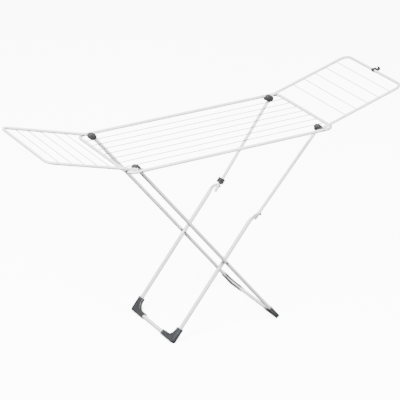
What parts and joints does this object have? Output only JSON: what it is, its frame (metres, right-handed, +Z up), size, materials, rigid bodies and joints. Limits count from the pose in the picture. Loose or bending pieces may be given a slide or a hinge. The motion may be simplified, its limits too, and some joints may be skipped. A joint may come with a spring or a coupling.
{
  "type": "clothes drying rack",
  "caption": "Folding clothes drying rack with a wired panel, two hinged wings and crossed tube legs, for hanging wet laundry to dry.",
  "frame": {"origin": "on the floor, under the centre of the rack's box", "axes": "+X along the panel towards the hook wing, +Y across it towards the back, +Z up"},
  "size_m": [1.991, 0.5494, 1.1372],
  "materials": {
    "panel_coating": "white powder coating, satin",
    "wing_coating": "white powder coating, satin",
    "leg_coating": "white powder coating, satin",
    "wire_coating": "thin white powder coating over steel wire, satin",
    "dark_plastic": "dark grey moulded plastic",
    "foot_plastic": "dark grey moulded plastic, finely grained",
    "white_plastic": "white moulded plastic",
    "steel": "zinc-plated steel"
  },
  "bodies": {
    "panel": {"panel_frame": "panel_coating", "panel_wire_1": "wire_coating", "panel_wire_2": "wire_coating", "panel_wire_3": "wire_coating", "panel_wire_4": "wire_coating", "panel_wire_5": "wire_coating", "panel_wire_6": "wire_coating", "panel_wire_7": "wire_coating", "corner_pins": "dark_plastic", "hinge_washers": "steel"},
    "left_wing": {"wing_frame_left": "wing_coating", "wing_wire_left_1": "wire_coating", "wing_wire_left_2": "wire_coating", "wing_wire_left_3": "wire_coating", "wing_wire_left_4": "wire_coating", "wing_wire_left_5": "wire_coating", "wing_arm_caps_left": "dark_plastic"},
    "right_wing": {"wing_frame_right": "wing_coating", "wing_wire_right_1": "wire_coating", "wing_wire_right_2": "wire_coating", "wing_wire_right_3": "wire_coating", "wing_wire_right_4": "wire_coating", "wing_wire_right_5": "wire_coating", "wing_arm_caps_right": "dark_plastic"},
    "hook": {"wing_hook": "dark_plastic"},
    "outer_leg": {"outer_leg_frame": "leg_coating", "outer_leg_knuckle_front": "dark_plastic", "outer_leg_knuckle_back": "dark_plastic", "outer_foot_front": "foot_plastic", "outer_foot_back": "foot_plastic", "crossing_spacers": "dark_plastic", "crossing_rivets": "steel"},
    "inner_leg": {"inner_leg_frame": "leg_coating", "inner_foot_front": "foot_plastic", "inner_foot_back": "foot_plastic", "knee_rivets": "steel"},
    "upper_leg_front": {"upper_leg_tube_front": "leg_coating", "upper_leg_plug_front": "white_plastic", "upper_leg_knuckle_front": "dark_plastic"},
    "upper_leg_back": {"upper_leg_tube_back": "leg_coating", "upper_leg_plug_back": "white_plastic", "upper_leg_knuckle_back": "dark_plastic"},
    "collar": {"lock_collar": "dark_plastic"}
  },
  "joints": [
    {"name": "fold", "type": "hinge", "parent": "panel", "child": "outer_leg", "pos_m": [-0.51545, 0, 0.985], "axis": [0, -1, 0], "range_deg": [0, 42.9]},
    {"name": "scissor", "type": "hinge", "parent": "outer_leg", "child": "inner_leg", "pos_m": [-0.02552, 0, 0.37722], "axis": [0, -1, 0], "range_deg": [-0.5, 74.5]},
    {"name": "knee_front", "type": "hinge", "parent": "inner_leg", "child": "upper_leg_front", "pos_m": [0.17413, 0, 0.5857], "axis": [0, -1, 0], "range_deg": [-166.5, 0.5]},
    {"name": "knee_back", "type": "hinge", "parent": "inner_leg", "child": "upper_leg_back", "pos_m": [0.17413, 0, 0.5857], "axis": [0, -1, 0], "range_deg": [-166.5, 0.5]},
    {"name": "left_wing_hinge", "type": "hinge", "parent": "panel", "child": "left_wing", "pos_m": [-0.51545, 0, 0.985], "axis": [0, 1, 0], "range_deg": [0, 162.4]},
    {"name": "right_wing_hinge", "type": "hinge", "parent": "panel", "child": "right_wing", "pos_m": [0.49055, 0, 0.985], "axis": [0, -1, 0], "range_deg": [0, 162.4]},
    {"name": "hook_swivel", "type": "hinge", "parent": "right_wing", "child": "hook", "pos_m": [0.96349, 0, 1.12061], "axis": [0, 1, 0], "range_deg": [0, 70]},
    {"name": "collar_slide", "type": "slide", "parent": "upper_leg_back", "child": "collar", "axis": [0.6199, 0.0627, 0.7822], "range_m": [0, 0.02]}
  ],
  "couplings": [
    {"joint": "scissor", "follows": "fold", "ratio": 1.7119},
    {"joint": "knee_front", "follows": "fold", "ratio": -3.8481},
    {"joint": "knee_back", "follows": "fold", "ratio": -3.8481}
  ]
}
